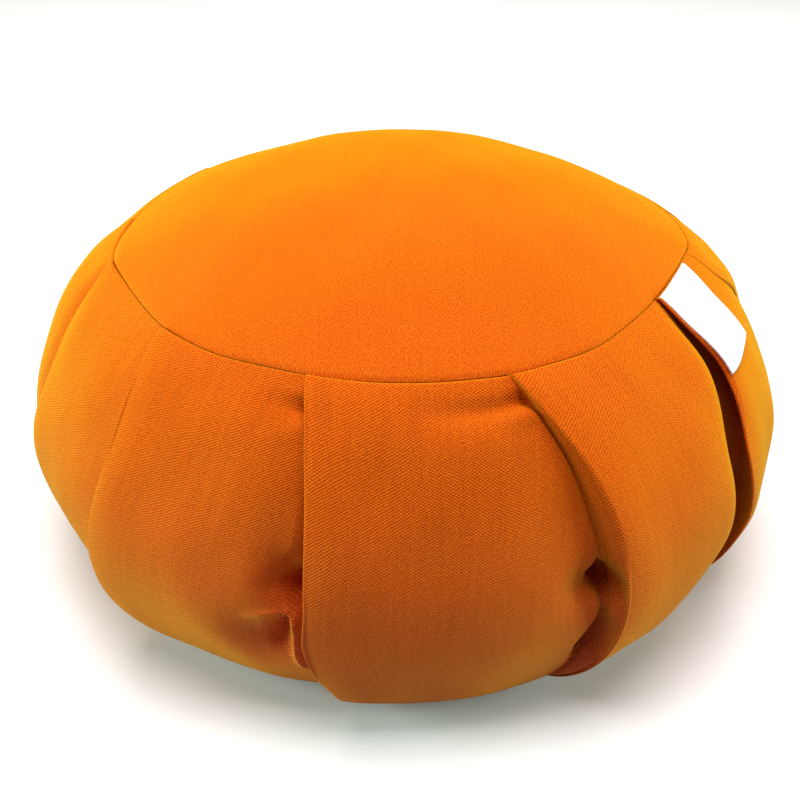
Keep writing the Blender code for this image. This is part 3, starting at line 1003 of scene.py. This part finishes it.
class ZafuStage(PropertyGroup):
    floor_colour: FloatVectorProperty(
        name="Floor colour",
        description="Colour of the studio floor",
        default=(0.88, 0.88, 0.88),
        subtype="COLOR",
        min=0.0,
        max=1.0,
    )
    bounce: FloatVectorProperty(
        name="Bounce",
        description="How much light the floor throws back on the cushion",
        default=(0.46, 0.43, 0.80),
        subtype="COLOR",
        min=0.0,
        max=1.0,
    )
    ambient: FloatProperty(
        name="Ambient light", description="Brightness of the studio's walls", default=0.02, min=0.0
    )
    lens: FloatProperty(
        name="Lens", description="Focal length of the camera", default=49.05, unit="CAMERA"
    )


BAND_RIB_ANGLE = -0.56
BAND_RIBS = 0.5  # how strong the ribs are
PANEL_RIB_ANGLE = 0.85
PANEL_RIBS = 0.22
EDGE_WIDTH = 0.0045  # the top panel's rings are even up to this far from its edge
EDGE_SHARES = (1.0, 0.8, 0.6, 0.45, 0.3, 0.18, 0.08, 0.0)  # then at these shares of the seam's roll
TOP_RINGS = 44
BOTTOM_RINGS = 12


class SewBand(Operator):
    """Sew the pleated side band round its filling"""

    bl_idname = "zafu.sew_band"
    bl_label = "Sew side band"

    def execute(self, context):
        scene = context.scene
        look = scene.zafu_cloth
        band = sew_band(canvas_material("band canvas", look, BAND_RIB_ANGLE, BAND_RIBS))
        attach(band, "root")
        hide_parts("side_band")
        return {"FINISHED"}


class SewPanels(Operator):
    """Sew in the round top and bottom panels"""

    bl_idname = "zafu.sew_panels"
    bl_label = "Sew round panels"

    def execute(self, context):
        scene = context.scene
        shape, look = scene.zafu_shape, scene.zafu_cloth
        material = canvas_material("panel canvas", look, PANEL_RIB_ANGLE, PANEL_RIBS)
        edge = SEAM_RADIUS - EDGE_GAP
        close = [edge - SEAM_ROLL * share for share in EDGE_SHARES]
        radii = [*np.linspace(0.0, edge - EDGE_WIDTH, TOP_RINGS), *close]
        thickness = shape.cloth_thickness
        top = round_cloth("top_cloth", material, top_cloth_place, radii, shape.spokes, thickness)
        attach(top, "root")
        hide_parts("top_panel")
        flat_radii = np.linspace(0.0, edge, BOTTOM_RINGS)
        bottom = round_cloth(
            "bottom_cloth", material, bottom_cloth_place, flat_radii, shape.spokes // 2, thickness
        )
        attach(bottom, "root")
        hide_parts("bottom_panel")
        return {"FINISHED"}


class SewLabel(Operator):
    """Lay the blank label on its panel"""

    bl_idname = "zafu.sew_label"
    bl_label = "Sew label"

    def execute(self, context):
        tape = context.scene.zafu_label
        material = tape_material("label tape", tape.colour)
        piece = sew_label(material, tape.width, tape.length, tape.thickness)
        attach(piece, "root")
        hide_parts("label")
        return {"FINISHED"}


FLOOR_HALF = 4.0  # half the floor's side
CAMERA_PLACE = (-0.0009, -0.4510, 0.3476)
CAMERA_TILT = math.radians(56.4)
SENSOR_WIDTH = 36.0  # millimetres

# Soft square lights, with their power in watts
Light = namedtuple("Light", "name place aim size power colour")
LIGHTS = (
    Light("top softbox", (0.0, 0.12, 1.60), (0.0, 0.0, 0.10), 1.4, 48.0, (0.95, 0.86, 0.86)),
    Light("left softbox", (-1.50, -0.20, 0.40), (0.0, 0.0, 0.08), 0.7, 31.0, (0.73, 1.0, 0.90)),
    Light("right softbox", (1.50, -0.20, 0.40), (0.0, 0.0, 0.08), 0.7, 23.0, (0.73, 1.0, 0.90)),
)


def aim(obj, place, target):
    """Puts a light or camera in its place and turns it to its target."""
    x, y, z = (t - p for t, p in zip(target, place))
    obj.location = place
    obj.rotation_euler = (math.atan2(math.hypot(x, y), -z), 0.0, math.atan2(y, x) - math.pi / 2)


class SetStage(Operator):
    """Set up the pale floor, the soft lights and the camera"""

    bl_idname = "zafu.set_stage"
    bl_label = "Set up studio"

    def execute(self, context):
        scene = context.scene
        look = scene.zafu_stage
        bm = bmesh.new()
        bmesh.ops.create_grid(bm, x_segments=1, y_segments=1, size=FLOOR_HALF)
        material, w, shader = new_material("studio floor", look.floor_colour)
        seen = w.add("ShaderNodeLightPath").outputs["Is Camera Ray"]
        thrown, shown = (*look.bounce, 1.0), (*look.floor_colour, 1.0)
        w.feed(shader.inputs["Base Color"], w.mix_colour(seen, thrown, shown))
        w.feed_all(shader, {"Roughness": 0.9, "Specular IOR Level": 0.1})
        floor = finished("studio_floor", bm, material)
        for light in LIGHTS:
            data = bpy.data.lights.new(light.name, "AREA")
            data.shape = "SQUARE"
            data.size = light.size
            data.energy = light.power
            data.color = light.colour
            lamp = bpy.data.objects.new(light.name, data)
            scene.collection.objects.link(lamp)
            aim(lamp, light.place, light.aim)
        scene.world = scene.world or bpy.data.worlds.new("studio")
        scene.world.use_nodes = True
        background = scene.world.node_tree.nodes["Background"]
        background.inputs["Color"].default_value = WHITE
        background.inputs["Strength"].default_value = look.ambient
        data = bpy.data.cameras.new("studio camera")
        data.lens = look.lens
        data.sensor_width = SENSOR_WIDTH
        camera = bpy.data.objects.new("studio camera", data)
        scene.collection.objects.link(camera)
        camera.location = CAMERA_PLACE
        camera.rotation_euler = (CAMERA_TILT, 0.0, 0.0)
        scene.camera = camera
        scene.view_settings.view_transform = "Standard"
        scene.view_settings.look = "None"
        return {"FINISHED"}


class ZAFU_PT_workbench(Panel):
    """Lists the cushion's sizes and the steps that sew it"""

    bl_label = "Zafu cushion"
    bl_space_type = "VIEW_3D"
    bl_region_type = "UI"
    bl_category = "Zafu"

    def draw(self, context):
        scene = context.scene
        parts = (
            (scene.zafu_shape, (SewBand, SewPanels)),
            (scene.zafu_cloth, ()),
            (scene.zafu_label, (SewLabel,)),
            (scene.zafu_stage, (SetStage,)),
        )
        for settings, steps in parts:
            box = self.layout.box()
            for name in settings.bl_rna.properties.keys():
                if name not in {"rna_type", "name"}:
                    box.prop(settings, name)
            for step in steps:
                box.operator(step.bl_idname)


CLASSES = (
    ZafuShape,
    ZafuCloth,
    ZafuLabel,
    ZafuStage,
    SewBand,
    SewPanels,
    SewLabel,
    SetStage,
    ZAFU_PT_workbench,
)
SETTINGS = {
    "zafu_shape": ZafuShape,
    "zafu_cloth": ZafuCloth,
    "zafu_label": ZafuLabel,
    "zafu_stage": ZafuStage,
}


def register():
    for made in CLASSES:
        bpy.utils.register_class(made)
    for name, kind in SETTINGS.items():
        setattr(bpy.types.Scene, name, PointerProperty(type=kind))


def unregister():
    for name in SETTINGS:
        delattr(bpy.types.Scene, name)
    for made in reversed(CLASSES):
        bpy.utils.unregister_class(made)


def main():
    register()
    bpy.ops.zafu.set_stage()
    bpy.ops.zafu.sew_band()
    bpy.ops.zafu.sew_panels()
    bpy.ops.zafu.sew_label()


if __name__ == "__main__":
    main()
